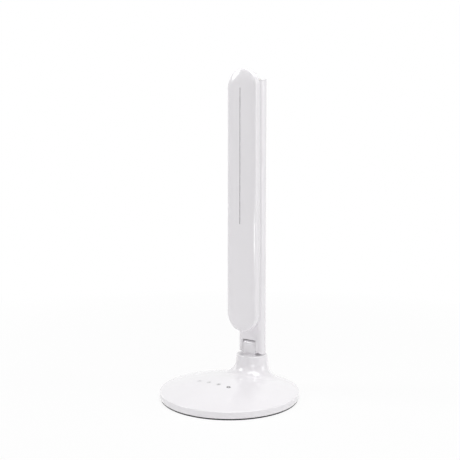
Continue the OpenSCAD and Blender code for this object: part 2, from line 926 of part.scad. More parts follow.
module head_frame() {
    lip_t = 1.1;
    lip_h = 1.6;
    lip_root = 3;
    lip_in = head_wall + part_gap;
    color(white)
    difference() {
        union() {
            difference() {
                loft(frame_rings(0));
                loft(frame_rings(head_wall));
                // the mouth of the hollow
                loft([head_ring(lip_in, seam_y + eps), head_ring(lip_in, seam_y - 1)]);
            }
            // the lip that the cover snaps over
            difference() {
                loft([head_ring(lip_in, seam_y + lip_root),
                      head_ring(lip_in, seam_y - lip_h)]);
                loft([head_ring(lip_in + lip_t, seam_y + lip_root + 1),
                      head_ring(lip_in + lip_t, seam_y - lip_h - 1)]);
            }
            // posts for the heat plate
            at_heat_screws()
                translate([0, heat_y, 0])
                    rotate([-90, 0, 0])
                        cylinder(h = floor_y - heat_y + head_wall / 2, r = 2.6, $fn = 32);
        }
        along_y(floor_y - 1, lit_y + 1)
            window_shape(part_gap);
        along_y(floor_y - 1, lit_y + 1)
            translate([0, head_z])
                square([knuckle_w + 4 * part_gap, 2 * knuckle_r + 4 * part_gap], center = true);
        at_heat_screws()
            translate([0, heat_y - 1, 0])
                rotate([-90, 0, 0])
                    cylinder(h = floor_y - heat_y + 1, r = screw_hole_r, $fn = 32);
        at_hinge_plate_screws()
            translate([0, floor_y - 1, 0])
                rotate([-90, 0, 0])
                    cylinder(h = head_wall + 0.5, r = screw_hole_r, $fn = 32);
    }
}

module head_cover() {
    color(white)
    difference() {
        loft(crown_rings(0));
        loft(crown_rings(head_wall));
        loft([head_ring(head_wall, seam_y + 1), head_ring(head_wall, seam_y - 1)]);
        for (k = [0 : vent_n - 1])
            translate([-vent_w / 2, crown_y - 1, head_z1 - vent_start - k * vent_pitch - vent_l])
                cube([vent_w, head_wall + 2, vent_l]);
    }
}

module heat_plate() {
    color([0.75, 0.76, 0.78])
    difference() {
        along_y(heat_y - heat_t, heat_y)
            translate([0, (heat_z0 + heat_z1) / 2])
                round_rect(heat_w, heat_z1 - heat_z0, heat_round);
        at_heat_screws()
            translate([0, heat_y - heat_t - 1, 0])
                rotate([-90, 0, 0])
                    cylinder(h = heat_t + 2, r = screw_hole_r, $fn = 32);
    }
}

module led_board() {
    color([0.95, 0.95, 0.95])
    along_y(heat_y, board_y)
        window_shape(-0.6);
}

module leds() {
    chip = [3.5, 0.7, 2.8];
    pitch = (window_l - 16) / (led_rows - 1);
    color([1, 0.9, 0.55])
    for (x = [-1, 1], k = [0 : led_rows - 1])
        translate([x * window_w / 5 - chip[0] / 2, board_y, window_z0 + 8 - chip[2] / 2 + k * pitch])
            cube(chip);
}

module reflector() {
    color(inner_white)
    along_y(board_y, reflector_y)
        difference() {
            window_shape(-0.6);
            window_shape(-1.4);
        }
}

module diffuser() {
    recess = 0.3;
    color([0.97, 0.97, 0.95]) {
        along_y(floor_y - eps, lit_y - recess)
            window_shape(-part_gap);
        along_y(reflector_y, floor_y)
            window_shape(flange_w);
    }
}

module head_screws() {
    color(steel)
    at_heat_screws()
        translate([0, heat_y - heat_t - screw_head_h, 0])
            rotate([-90, 0, 0])
                screw(heat_t + heat_screw_bite);
}

module head_wire() {
    x = heat_w / 2 - 4;
    y = heat_y - heat_t - wire_d / 2 - part_gap / 2;
    color([0.85, 0.85, 0.85])
    wire([[x, y, head_z - knuckle_r], [x, y, window_z1 - 12]]);
}

foot_pad();
base_plate();
ballast_weight();
base_cover();
base_screws();
touch_board();
touch_ribbon();
control_board();
power_inlet();
base_wire();
tilt_knuckle();
knuckle_screws();
tilt_friction_sleeve();
tilt_pin();
tilt_washers();
arm_front_shell();
arm_rear_shell();
arm_spine();
arm_wire();
arm_screws();
head_pin();
head_washers();
head_knuckle();
head_knuckle_screws();
head_friction_sleeve();
head_frame();
head_cover();
heat_plate();
led_board();
leds();
reflector();
diffuser();
head_screws();
head_wire();
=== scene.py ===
"""The folding desk lamp, dressed for rendering: finishes, marks, edges, lights and camera."""
import json
from math import asin, copysign, cos, hypot, pi, radians, sin, sqrt

import bpy
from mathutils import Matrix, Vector

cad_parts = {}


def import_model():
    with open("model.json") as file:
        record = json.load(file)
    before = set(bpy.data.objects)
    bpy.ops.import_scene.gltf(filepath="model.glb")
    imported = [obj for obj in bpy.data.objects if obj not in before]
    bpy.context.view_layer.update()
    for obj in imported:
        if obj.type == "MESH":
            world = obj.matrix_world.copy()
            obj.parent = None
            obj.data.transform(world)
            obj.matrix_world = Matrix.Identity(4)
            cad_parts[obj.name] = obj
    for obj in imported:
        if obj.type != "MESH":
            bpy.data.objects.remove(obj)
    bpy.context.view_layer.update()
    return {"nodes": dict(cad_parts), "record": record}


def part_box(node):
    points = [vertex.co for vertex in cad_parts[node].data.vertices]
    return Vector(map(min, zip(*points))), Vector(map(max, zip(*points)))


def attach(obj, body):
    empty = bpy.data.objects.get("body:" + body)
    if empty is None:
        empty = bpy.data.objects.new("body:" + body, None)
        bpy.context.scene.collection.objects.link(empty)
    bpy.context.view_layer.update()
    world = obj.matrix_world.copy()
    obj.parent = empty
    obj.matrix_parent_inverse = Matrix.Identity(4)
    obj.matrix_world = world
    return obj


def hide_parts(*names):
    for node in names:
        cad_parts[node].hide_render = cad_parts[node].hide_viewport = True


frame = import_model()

MM = 0.001

# ---------------------------------------------------------------- shader maths


class Value:
    """A shader socket that takes part in Python sums. Each sum adds one Math node."""

    def __init__(self, paint, socket):
        self.paint = paint
        self.socket = socket

    def _math(self, operation, *values):
        return self.paint.node("ShaderNodeMath", {"operation": operation}, dict(enumerate(values)))

    def __add__(self, other):
        return self._math("ADD", self, other)

    def __sub__(self, other):
        return self._math("SUBTRACT", self, other)

    def __rsub__(self, other):
        return self._math("SUBTRACT", other, self)

    def __mul__(self, other):
        return self._math("MULTIPLY", self, other)

    __radd__ = __add__
    __rmul__ = __mul__

    def power(self, other):
        return self._math("POWER", self, other)


class Paint:
    """One material, built node by node on the piece's own coordinates in metres."""

    def __init__(self, name):
        self.material = bpy.data.materials.new(name)
        self.material.use_nodes = True
        self.tree = self.material.node_tree
        self.shader = next(n for n in self.tree.nodes if n.type == "BSDF_PRINCIPLED")
        self.output = next(n for n in self.tree.nodes if n.type == "OUTPUT_MATERIAL")

    def link(self, value, socket):
        if isinstance(value, Value):
            self.tree.links.new(value.socket, socket)
        else:
            socket.default_value = value

    def node(self, kind, settings=None, values=None, out=0):
        """Adds a node: its settings first, then the values or links of its sockets."""
        made = self.tree.nodes.new(kind)
        for name, setting in (settings or {}).items():
            if name == "stops":
                ramp = made.color_ramp.elements
                while len(ramp) < len(setting):
                    ramp.new(0.5)
                for element, (place, colour) in zip(ramp, setting):
                    element.position = place
                    element.color = colour
            else:
                setattr(made, name, setting)
        for name, value in (values or {}).items():
            self.link(value, made.inputs[name])
        return Value(self, made.outputs[out])

    def place(self, scale=(1, 1, 1)):
        """Object coordinates, scaled."""
        where = self.node("ShaderNodeTexCoord", out="Object")
        return self.node("ShaderNodeMapping", None, {"Vector": where, "Scale": scale})

    def axes(self):
        """The separate X, Y and Z of the object coordinates."""
        where = self.place()
        made = self.tree.nodes.new("ShaderNodeSeparateXYZ")
        self.link(where, made.inputs[0])
        return [Value(self, made.outputs[k]) for k in range(3)]

    def noise(self, size, detail, where=None):
        """Noise from 0 to 1 whose blotches are about size metres across."""
        return self.node("ShaderNodeTexNoise", None,
                         {"Vector": where or self.place(), "Scale": 1 / size, "Detail": detail})

    def ramp(self, value, stops):
        return self.node("ShaderNodeValToRGB", {"stops": stops}, {"Fac": value})

    def bump(self, height, depth):
        """Feeds a height from 0 to 1, depth metres deep, to the surface normal."""
        normal = self.node("ShaderNodeBump", None, {"Height": height, "Distance": depth})
        self.link(normal, self.shader.inputs["Normal"])

    def set(self, **values):
        """Sets the shader's sockets; words in a name are parted by one underscore."""
        for name, value in values.items():
            self.link(value, self.shader.inputs[name.replace("_", " ")])
        return self


def grey(level):
    return (level, level, level, 1)


# ---------------------------------------------------------------- finishes

# where a finish's noise leaves its darker tone, and where it reaches its lighter one
DARK_TO, LIGHT_FROM = 0.3, 0.7


def gloss_white(name="gloss_white", colour=(0.905, 0.886, 0.912), roughness=0.16):
    """Smooth moulded ABS: faint flow marks, very slight waviness and a hard gloss."""
    flow_size, fine_size, wave_size, wave_depth = 0.045, 0.0016, 0.011, 0.000012
    flow_tone, wave_share, fine_share = 0.988, 0.7, 0.3
    p = Paint(name)
    flow = p.noise(flow_size, 3, p.place(scale=(1, 1, 0.35)))
    fine = p.noise(fine_size, 2)
    dark = tuple(c * flow_tone for c in colour) + (1,)
    tone = p.ramp(flow, [(DARK_TO, dark), (LIGHT_FROM, colour + (1,))])
    p.set(Base_Color=tone, Roughness=roughness + 0.05 * fine + 0.03 * flow)
    p.set(IOR=1.5, Coat_Weight=0.8, Coat_Roughness=0.02)
    p.bump(p.noise(wave_size, 2) * wave_share + fine * fine_share, wave_depth)
    return p.material


def simple(name, colour, roughness, metallic=0.0, grain=0.002, depth=0.00001, spread=0.06,
           stretch=(1, 1, 1)):
    """A plain finish with fine grain in its colour, gloss and surface."""
    p = Paint(name)
    mottle = p.noise(grain, 3, p.place(scale=stretch))
    dark = tuple(c * (1 - spread) for c in colour) + (1,)
    p.set(Base_Color=p.ramp(mottle, [(DARK_TO, dark), (LIGHT_FROM, colour + (1,))]))
    p.set(Roughness=roughness + 0.12 * mottle, Metallic=metallic)
    p.bump(mottle, depth)
    return p.material


WHITE = gloss_white()
INK_FAINT = simple("ink_faint", (0.42, 0.42, 0.43), 0.35, grain=0.0006)
INK_MIDDLE = simple("ink_middle", (0.32, 0.32, 0.33), 0.35, grain=0.0006)
INK_DARK = simple("ink_dark", (0.04, 0.04, 0.045), 0.35, grain=0.0006)
RUBBER = simple("pad_rubber", (0.018, 0.018, 0.02), 0.62, grain=0.0012, depth=0.00004,
                spread=0.3)
STEEL = simple("plated_steel", (0.60, 0.61, 0.63), 0.24, 1.0, grain=0.003, stretch=(1, 8, 8))
IRON = simple("ballast_iron", (0.08, 0.08, 0.085), 0.6, 0.7, grain=0.0015, depth=0.0001,
              spread=0.3)
BOARD = simple("board_green", (0.03, 0.16, 0.08), 0.35, grain=0.004)
RIBBON = simple("ribbon_amber", (0.62, 0.36, 0.09), 0.4, grain=0.002)
WIRE = simple("wire_white", (0.78, 0.78, 0.76), 0.45, grain=0.001)
NYLON = simple("washer_nylon", (0.82, 0.80, 0.74), 0.4, grain=0.001)
ALUMINIUM = simple("heat_aluminium", (0.78, 0.79, 0.81), 0.3, 1.0, grain=0.004,
                   stretch=(8, 8, 0.5))
LED_BOARD = simple("led_board_white", (0.88, 0.88, 0.87), 0.4, grain=0.003)
PHOSPHOR = simple("led_phosphor", (0.90, 0.72, 0.25), 0.45, grain=0.0006)
REFLECTOR = simple("reflector_white", (0.90, 0.90, 0.89), 0.5, grain=0.002)
OPAL = simple("diffuser_opal", (0.90, 0.90, 0.88), 0.42, grain=0.0008, depth=0.00002,
              spread=0.02)

FINISH = {
    "pad_rubber": RUBBER, "plate_steel": STEEL, "ballast_iron": IRON, "gloss_white": WHITE,
    "screw_steel": STEEL, "board_green": BOARD, "ribbon_amber": RIBBON, "socket_steel": STEEL,
    "wire_white": WIRE, "spring_steel": STEEL, "pin_steel": STEEL, "washer_nylon": NYLON,
    "heat_aluminium": ALUMINIUM, "led_board_white": LED_BOARD, "led_phosphor": PHOSPHOR,
    "reflector_white": REFLECTOR, "diffuser_opal": OPAL,
}

SLOT = {part["node"]: part["material_slot"] for part in frame["record"]["subparts"]}


def coat(piece, material):
    piece.data.materials.clear()
    piece.data.materials.append(material)


for name, piece in frame["nodes"].items():
    coat(piece, FINISH[SLOT[name]])

# ---------------------------------------------------------------- sizes

# from the frame
BASE_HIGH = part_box("base_cover")[1]
PAD_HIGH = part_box("foot_pad")[1]
KNUCKLE_LOW, KNUCKLE_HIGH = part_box("tilt_knuckle")
TILT_LOW, TILT_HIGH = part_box("tilt_pin")
HEAD_PIN_LOW, HEAD_PIN_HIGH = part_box("head_pin")
ARM_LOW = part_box("arm_front_shell")[0]
ARM_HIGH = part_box("arm_rear_shell")[1]
COVER_LOW, COVER_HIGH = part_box("head_cover")
FRAME_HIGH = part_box("head_frame")[1]
LUG_LOW, LUG_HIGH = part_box("head_knuckle")
GLASS_LOW, GLASS_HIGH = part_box("diffuser")
SCREW_LOW, SCREW_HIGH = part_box("arm_screws")

tilt_z = (TILT_LOW.z + TILT_HIGH.z) / 2
head_z = (HEAD_PIN_LOW.z + HEAD_PIN_HIGH.z) / 2
neck_y = (TILT_LOW.y + TILT_HIGH.y) / 2
front_y = ARM_LOW.y
back_y = ARM_HIGH.y
arm_w = 2 * ARM_HIGH.x
arm_t = back_y - front_y
knuckle_w = 19.2 * MM
foot_t = 3 * MM
fork_w = 20.4 * MM
fork_floor = 9.66 * MM
end_round = 5.2 * MM
arm_edge = 6 * MM
arm_top_slant = 3.8 * MM
screw_r = 2.8 * MM
recess_n, recess_r, recess_t = 4, 2.9 * MM, 1.4 * MM
soft_edge = 0.35 * MM
soft_step = 0.1 * MM
seam_edge = 0.1 * MM
part_gap = 0.1 * MM
weld_gap = 0.004 * MM
nearly_half = 0.49

base_r = BASE_HIGH.x
pad_t = PAD_HIGH.z
rim_h = 10.2 * MM
rim_edge = 1.3 * MM
rim_foot = 0.8 * MM
dome_rise = 13.2 * MM
dome_top = rim_h + dome_rise
dome_edge_r = base_r - rim_edge
dome_ball = (dome_edge_r ** 2 + dome_rise ** 2) / (2 * dome_rise)
base_wall = 2.2 * MM
socket_z = 6.1 * MM
socket_w, socket_h = 9.2 * MM, 3.4 * MM
mark_x, mark_y, mark_pitch = -4.5 * MM, -26 * MM, 15.4 * MM
mark_line = 0.7 * MM
mark_lift = 0.03 * MM

neck_h = BASE_HIGH.z
neck_side = 1.9 * MM
neck_w = arm_w + 2 * neck_side
neck_front = 12.2 * MM
neck_back = 9.4 * MM
neck_d = arm_t + neck_front + neck_back
neck_mid_y = neck_y + (neck_back - neck_front) / 2
neck_square = 2.1
neck_taper = 2.2 * MM
neck_lip = 1.4 * MM
neck_roof = 3.5 * MM
flare_side = 15 * MM
flare_front = 13 * MM
flare_back = 8 * MM

half_w = COVER_HIGH.x
head_z0, head_z1 = COVER_LOW.z, COVER_HIGH.z
head_end = 24.5 * MM
crown_y, seam_y, lit_y = COVER_LOW.y, COVER_HIGH.y, FRAME_HIGH.y
crown_depth = 4.9 * MM
crown_flat = 4 * MM
crown_power = 0.8
frame_round = 6 * MM
head_wall = 1.7 * MM
vent_n, vent_l, vent_w = 17, 9.3 * MM, 1.15 * MM
vent_bridge = 0.85 * MM
vent_start = 24.7 * MM
glass_lap = 1.2 * MM
window_r = 14.1 * MM
window_edge = 0.3 * MM
window_z0, window_z1 = GLASS_LOW.z + glass_lap, GLASS_HIGH.z - glass_lap

# points round a ring
AROUND = 192
# the broken edges, as pairs: how far in, and how far from the seam or up from the pad
SEAM_LIP = ((0, 0.3 * MM), (0.08 * MM, 0.1 * MM), (0.28 * MM, 0))
FOOT_LIP = ((0, 1.7 * rim_foot), (0.15 * rim_foot, 1.2 * rim_foot), (rim_foot, 0))

# ---------------------------------------------------------------- modelling tools


def take(piece):
    """Makes one piece the only one selected, and the active one."""
    bpy.ops.object.select_all(action="DESELECT")
    piece.select_set(True)
    bpy.context.view_layer.objects.active = piece


def fresh(name, add, **settings):
    """Adds a primitive and puts its place into its mesh."""
    bpy.ops.object.select_all(action="DESELECT")
    add(**settings)
    piece = bpy.context.object
    piece.name = name
    bpy.ops.object.transform_apply(location=True, rotation=True, scale=True)
    return piece


def block(name, low, high):
    low, high = Vector(low), Vector(high)
    return fresh(name, bpy.ops.mesh.primitive_cube_add, size=1, location=(low + high) / 2,
                 scale=high - low)


def copy_of(piece, name):
    made = piece.copy()
    made.data = piece.data.copy()
    made.name = name
    bpy.context.scene.collection.objects.link(made)
    return made


def modify(piece, kind, **settings):
    """Adds a modifier with its settings and applies it."""
    take(piece)
    modifier = piece.modifiers.new(kind.lower(), kind)
    for name, setting in settings.items():
        setattr(modifier, name, setting)
    bpy.ops.object.modifier_apply(modifier=modifier.name)


def combine(piece, tool, operation):
    """Cuts a piece by a tool, keeps what they share, or joins them; the tool goes away."""
    modify(piece, "BOOLEAN", object=tool, operation=operation, solver="EXACT")
    bpy.data.objects.remove(tool)


def pick_edges(piece, wanted):
    """Selects the edges whose two end points pass a test, and opens edit mode."""
    take(piece)
    mesh = piece.data
    for parts in (mesh.vertices, mesh.edges, mesh.polygons):
        parts.foreach_set("select", [False] * len(parts))
    for edge in mesh.edges:
        edge.select = wanted(*(mesh.vertices[k].co for k in edge.vertices))
    bpy.context.tool_settings.mesh_select_mode = (False, True, False)
    bpy.ops.object.mode_set(mode="EDIT")


def round_edges(piece, wanted, width, segments=2):
    pick_edges(piece, wanted)
    bpy.ops.mesh.bevel(offset=width, segments=segments, profile=0.5)
    bpy.ops.object.mode_set(mode="OBJECT")


def soften(piece, width=soft_edge, angle=35):
    """Breaks every sharp edge a little, as a mould does."""
    modify(piece, "BEVEL", width=width, segments=2, limit_method="ANGLE",
           angle_limit=radians(angle), use_clamp_overlap=True)


def smooth(piece, angle=32):
    take(piece)
    bpy.ops.object.shade_smooth_by_angle(angle=radians(angle))


def weld(piece):
    """Merges the points that meet, and turns the faces outward."""
    take(piece)
    bpy.ops.object.mode_set(mode="EDIT")
    bpy.ops.mesh.select_all(action="SELECT")
    bpy.ops.mesh.remove_doubles(threshold=weld_gap)
    bpy.ops.mesh.normals_make_consistent(inside=False)
    bpy.ops.object.mode_set(mode="OBJECT")


def wrapped(name, rings):
    """Wraps a grid round a closed skin, one row of points to a ring, and merges where it meets."""
    across, down = len(rings[0]), len(rings) - 1
    piece = fresh(name, bpy.ops.mesh.primitive_grid_add, x_subdivisions=across,
                  y_subdivisions=down, size=1)
    for point in piece.data.vertices:
        row, column = divmod(point.index, across + 1)
        point.co = rings[row][column % across]
    weld(piece)
    return piece


def mix(first, second, share):
    return tuple(a + (b - a) * share for a, b in zip(first, second))


def between(first, second, share):
    """A ring part way between two rings."""
    return [mix(a, b, share) for a, b in zip(first, second)]


def stand_in(piece, node, body, material):
    """Lets a finished piece replace its CAD node."""
    coat(piece, material)
    smooth(piece)
    modify(piece, "WEIGHTED_NORMAL", keep_sharp=True)
    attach(piece, body)
    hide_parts(node)
    return piece


# ---------------------------------------------------------------- base

TURNS = [2 * pi * k / AROUND for k in range(AROUND)]


def dome_z(x, y):
    return dome_top - dome_ball + sqrt(dome_ball ** 2 - x * x - y * y)


def on_dome(ring, drop=0.0):
    """A ring's points laid on the dome, or a wall's thickness under it."""
    return [(x, y, dome_z(x, y) - drop) for x, y, _ in ring]


def circle_ring(radius, z):
    return [(radius * cos(a), radius * sin(a), z) for a in TURNS]


def window_ring(grow, z):
    """The square window round the knuckle."""
    half_x = knuckle_w / 2 + part_gap + grow
    half_y = arm_t / 2 + part_gap + grow
    reach = [max(abs(cos(a)) / half_x, abs(sin(a)) / half_y) for a in TURNS]
    return [(cos(a) / r, neck_y + sin(a) / r, z) for a, r in zip(TURNS, reach)]


def oval(part):
    return copysign(abs(part) ** (2 / neck_square), part)


def flare_y(a):
    return flare_back if a < pi else flare_front


def neck_point(a, grow, spread=0.0):
    """A point of the neck's oval outline, grown evenly and by a share of its flares."""
    return ((neck_w / 2 + grow + spread * flare_side) * oval(cos(a)),
            neck_mid_y + (neck_d / 2 + grow + spread * flare_y(a)) * oval(sin(a)))


def taper(z):
    return neck_taper * (neck_h - z) / (neck_h - dome_top)


def neck_ring(z, grow):
    return [(*neck_point(a, grow), z) for a in TURNS]


def flare_ring(turn):
    """The neck's flare at a turn from 0, upright on the neck, to 90 degrees, lying on the dome.

    The place depends on the taper and the taper on the height, so three rounds settle both."""
    ring = []
    for a in TURNS:
        rise = hypot(flare_side * cos(a), flare_y(a) * sin(a)) * (1 - sin(turn))
        z = dome_z(*neck_point(a, 0)) + rise
        for _ in range(3):
            x, y = neck_point(a, taper(z), 1 - cos(turn))
            z = dome_z(x, y) + rise
        ring.append((x, y, z))
    return ring


def base_cover():
    """Moulded shell: the knuckle's window, land, lip, neck, flare, dome, rim, then back inside."""
    flare_steps, dome_steps, rim_steps = 16, 28, 6
    edge_turn = asin(dome_edge_r / dome_ball)
    rim_start = dome_edge_r + rim_edge * sin(edge_turn)
    rim_middle = dome_z(rim_start, 0) - rim_edge * cos(edge_turn)
    inner_r = base_r - base_wall
    rings = [window_ring(0, neck_h - neck_roof), window_ring(0, neck_h - soft_edge),
             window_ring(soft_step, neck_h - soft_step), window_ring(soft_edge, neck_h)]
    lip_top = neck_ring(neck_h, -neck_lip)
    rings.append(between(rings[-1], lip_top, 0.5))
    for turn in range(90, -1, -15):
        a = radians(turn)
        rings.append(neck_ring(neck_h - neck_lip * (1 - sin(a)),
                               taper(neck_h - neck_lip) * cos(a) - neck_lip * (1 - cos(a))))
    neck_top = rings[-2]
    flare = [flare_ring(radians(90 * k / flare_steps)) for k in range(flare_steps + 1)]
    for share in (0.25, 0.5, 0.75):
        heights = [point[2] for point in between(neck_top, flare[0], share)]
        rings.append([(*neck_point(a, taper(z)), z) for a, z in zip(TURNS, heights)])
    rings += flare
    rim_circle = circle_ring(rim_start, 0)
    rings += [on_dome(between(flare[-1], rim_circle, k / dome_steps))
              for k in range(1, dome_steps + 1)]
    for k in range(1, rim_steps + 1):
        turn = edge_turn + (pi / 2 - edge_turn) * k / rim_steps
        rings.append(circle_ring(dome_edge_r + rim_edge * sin(turn),
                                 rim_middle + rim_edge * cos(turn)))
    rings += [circle_ring(base_r - inward, pad_t + up) for inward, up in FOOT_LIP]
    rings += [circle_ring(inner_r, pad_t), circle_ring(inner_r, rim_h - rim_edge),
              on_dome(between(flare[-1], rim_circle, 0.5), base_wall),
              on_dome(flare[flare_steps // 2], base_wall),
              neck_ring(neck_h - 3 * neck_roof, -base_wall),
              neck_ring(neck_h - neck_roof, -base_wall), rings[0]]
    cover = wrapped("base_cover_shell", rings)
    mouth = block("mouth", (-socket_w / 2, inner_r - MM, socket_z - socket_h / 2),
                  (socket_w / 2, base_r + MM, socket_z + socket_h / 2))
    round_edges(mouth, lambda a, b: abs(a.y - b.y) > MM, nearly_half * socket_h, segments=10)
    combine(cover, mouth, "DIFFERENCE")
    return stand_in(cover, "base_cover", "base", WHITE)


def tilt_knuckle():
    """Square post that stands up through the neck, its top rounded to turn under the arm."""
    post = block("tilt_knuckle_post", (-knuckle_w / 2, front_y, KNUCKLE_LOW.z),
                 (knuckle_w / 2, back_y, KNUCKLE_HIGH.z))
    round_edges(post, lambda a, b: min(a.z, b.z) > KNUCKLE_HIGH.z - MM and abs(a.y - b.y) < MM,
                end_round, segments=10)
    foot = block("foot", KNUCKLE_LOW, (KNUCKLE_HIGH.x, KNUCKLE_HIGH.y, KNUCKLE_LOW.z + foot_t))
    combine(post, foot, "UNION")
    soften(post)
    return stand_in(post, "tilt_knuckle", "base", WHITE)


def stroke(path, width):
    """A printed line along flat points, laid on the dome."""
    count = len(path)
    closed = path[0] == path[-1]
    piece = fresh("stroke", bpy.ops.mesh.primitive_grid_add, x_subdivisions=count - 1,
                  y_subdivisions=2, size=1)
    for point in piece.data.vertices:
        row, k = divmod(point.index, count)
        here = Vector(path[k])
        before = Vector(path[k - 1] if k else path[-2] if closed else path[0])
        after = Vector(path[k + 1] if k < count - 1 else path[1] if closed else path[-1])
        along = (after - before).normalized()
        x, y = here + (row - 1) * width / 2 * Vector((-along.y, along.x))
        point.co = (x, y, dome_z(x, y) + mark_lift)
    weld(piece)
    if sum(face.normal.z for face in piece.data.polygons) < 0:
        piece.data.flip_normals()
    modify(piece, "SOLIDIFY", thickness=2 * mark_lift, offset=-1)
    return piece


def arc(x, y, radius, start=0, end=360, steps=32):
    """Points along an arc, in degrees from +X."""
    turns = [radians(start + (end - start) * k / steps) for k in range(steps + 1)]
    points = [(x + radius * cos(a), y + radius * sin(a)) for a in turns]
    return points[:-1] + points[:1] if end - start == 360 else points


def ray(x, y, turn, near, far):
    a = radians(turn)
    return [(x + r * cos(a), y + r * sin(a)) for r in (near, (near + far) / 2, far)]


def touch_mark(name, strokes, ink):
    """One printed key mark: its strokes joined into a piece that rides on the base."""
    parts = [stroke(path, width) for path, width in strokes]
    bpy.ops.object.select_all(action="DESELECT")
    for part in parts:
        part.select_set(True)
    bpy.context.view_layer.objects.active = parts[0]
    bpy.ops.object.join()
    parts[0].name = name
    coat(parts[0], ink)
    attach(parts[0], "base")


def touch_marks():
    """Plain generic signs over the four touch keys: timer, warmth, brightness and power."""
    x0, x1, x2, x3 = [mark_x + (k - 1.5) * mark_pitch for k in range(4)]
    y, line = mark_y, mark_line
    dial_r, minute_hand, hour_hand = 2.1 * MM, 1.5 * MM, 1.2 * MM
    half_r, half_line = 0.9 * MM, 1.6 * MM
    sun_r, sun_line, beam_near, beam_far = 1.1 * MM, 1.1 * MM, 2.0 * MM, 2.9 * MM
    power_r, power_line, stem_l, stem_line = 2.0 * MM, 1.3 * MM, 2.8 * MM, 1.2 * MM
    touch_mark("mark_timer", [(arc(x0, y, dial_r), line), (ray(x0, y, 90, 0, minute_hand), line),
                              (ray(x0, y, 0, 0, hour_hand), line)], INK_FAINT)
    touch_mark("mark_warmth", [(arc(x1, y, dial_r), line),
                               (arc(x1, y, half_r, -90, 90, 16), half_line)], INK_FAINT)
    touch_mark("mark_brightness", [(arc(x2, y, sun_r), sun_line)]
               + [(ray(x2, y, 45 * k, beam_near, beam_far), line) for k in range(8)], INK_MIDDLE)
    touch_mark("mark_power", [(arc(x3, y, power_r, 125, 415, 28), power_line),
                              (ray(x3, y, 90, 0, stem_l), stem_line)], INK_DARK)


# ---------------------------------------------------------------- arm


def arm_bar():
    """The whole arm as one bar: rounded edges, slanted top, forks and screw recesses."""
    top = ARM_HIGH.z
    bar = block("arm_bar", ARM_LOW, ARM_HIGH)
    pick_edges(bar, lambda a, b: min(a.z, b.z) > top - MM and max(a.y, b.y) < front_y + MM)
    bpy.ops.transform.translate(value=(0, 0, -arm_top_slant))
    bpy.ops.object.mode_set(mode="OBJECT")
    round_edges(bar, lambda a, b: abs(a.z - b.z) > arm_t, arm_edge, segments=12)
    side = block("side", (-arm_w, front_y, ARM_LOW.z), (arm_w, back_y, top + arm_t))
    round_edges(side, lambda a, b: max(a.z, b.z) < ARM_LOW.z + MM and abs(a.y - b.y) < MM,
                end_round, segments=10)
    combine(bar, side, "INTERSECT")
    for z0, z1 in ((ARM_LOW.z - MM, tilt_z + fork_floor), (head_z - fork_floor, top + MM)):
        combine(bar, block("fork", (-fork_w / 2, front_y - MM, z0),
                           (fork_w / 2, back_y + MM, z1)), "DIFFERENCE")
    soften(bar)
    first, last = SCREW_LOW.z + screw_r, SCREW_HIGH.z - screw_r
    for k in range(recess_n):
        z = first + (last - first) * k / (recess_n - 1)
        recess = fresh("recess", bpy.ops.mesh.primitive_cylinder_add, vertices=48,
                       radius=recess_r, depth=2 * recess_t, location=(0, back_y, z),
                       rotation=(pi / 2, 0, 0))
        combine(bar, recess, "DIFFERENCE")
    return bar


def arm_shell(bar, name, node, outward):
    """One half of the bar, split along its middle."""
    shell = copy_of(bar, name)
    take(shell)
    bpy.ops.object.mode_set(mode="EDIT")
    bpy.ops.mesh.select_all(action="SELECT")
    bpy.ops.mesh.bisect(plane_co=(0, neck_y, 0), plane_no=(0, -outward, 0), use_fill=True,
                        clear_outer=True)
    bpy.ops.object.mode_set(mode="OBJECT")
    near = 0.01 * MM
    round_edges(shell, lambda a, b: abs(a.y - neck_y) < near and abs(b.y - neck_y) < near,
                seam_edge, segments=1)
    return stand_in(shell, node, "arm", WHITE)


# ---------------------------------------------------------------- head

# the turn and the middle's height of each point of the head's outline: top end, then low end
HALF = AROUND // 2
ENDS = [(pi * k / (HALF - 1), head_z1 - head_end) for k in range(HALF)]
ENDS += [(pi + pi * k / (HALF - 1), head_z0 + head_end) for k in range(HALF)]


def head_ring(inset, y):
    """The head's long outline, drawn in by an inset."""
    return [((half_w - inset) * cos(a), y, z + (head_end - inset) * sin(a)) for a, z in ENDS]


def glass_ring(grow, y):
    """The lit window's outline."""
    r = window_r + grow
    middles = [window_z1 - window_r] * HALF + [window_z0 + window_r] * HALF
    return [(r * cos(a), y, middle + r * sin(a)) for middle, (a, _) in zip(middles, ENDS)]


def crown_ring(turn, wall):
    """The cover's squarish oval crown at a turn from the side, 0, to the flat front, 90 degrees."""
    reach = (half_w - crown_flat) * (1 - max(cos(turn), 0) ** crown_power)
    return head_ring(wall + (1 - wall / half_w) * reach,
                     crown_y + crown_depth - (crown_depth - wall) * sin(turn) ** crown_power)


def head_cover():
    """Crowned cover with a broken seam edge and a row of vent slots down its middle."""
    steps = 18
    rings = [head_ring(half_w, crown_y), head_ring(half_w - crown_flat / 2, crown_y)]
    rings += [crown_ring(radians(90 * k / steps), 0) for k in range(steps, -1, -1)]
    rings += [head_ring(inward, seam_y - away) for inward, away in SEAM_LIP]
    rings.append(head_ring(head_wall, seam_y))
    rings += [crown_ring(radians(90 * k / steps), head_wall) for k in range(0, steps + 1, 3)]
    rings.append(head_ring(half_w, crown_y + head_wall))
    cover = wrapped("head_cover_shell", rings)
    for k in range(vent_n):
        z = head_z1 - vent_start - k * (vent_l + vent_bridge)
        combine(cover, block("slot", (-vent_w / 2, crown_y - MM, z - vent_l),
                             (vent_w / 2, crown_y + head_wall + MM, z)), "DIFFERENCE")
    return stand_in(cover, "head_cover", "head", WHITE)


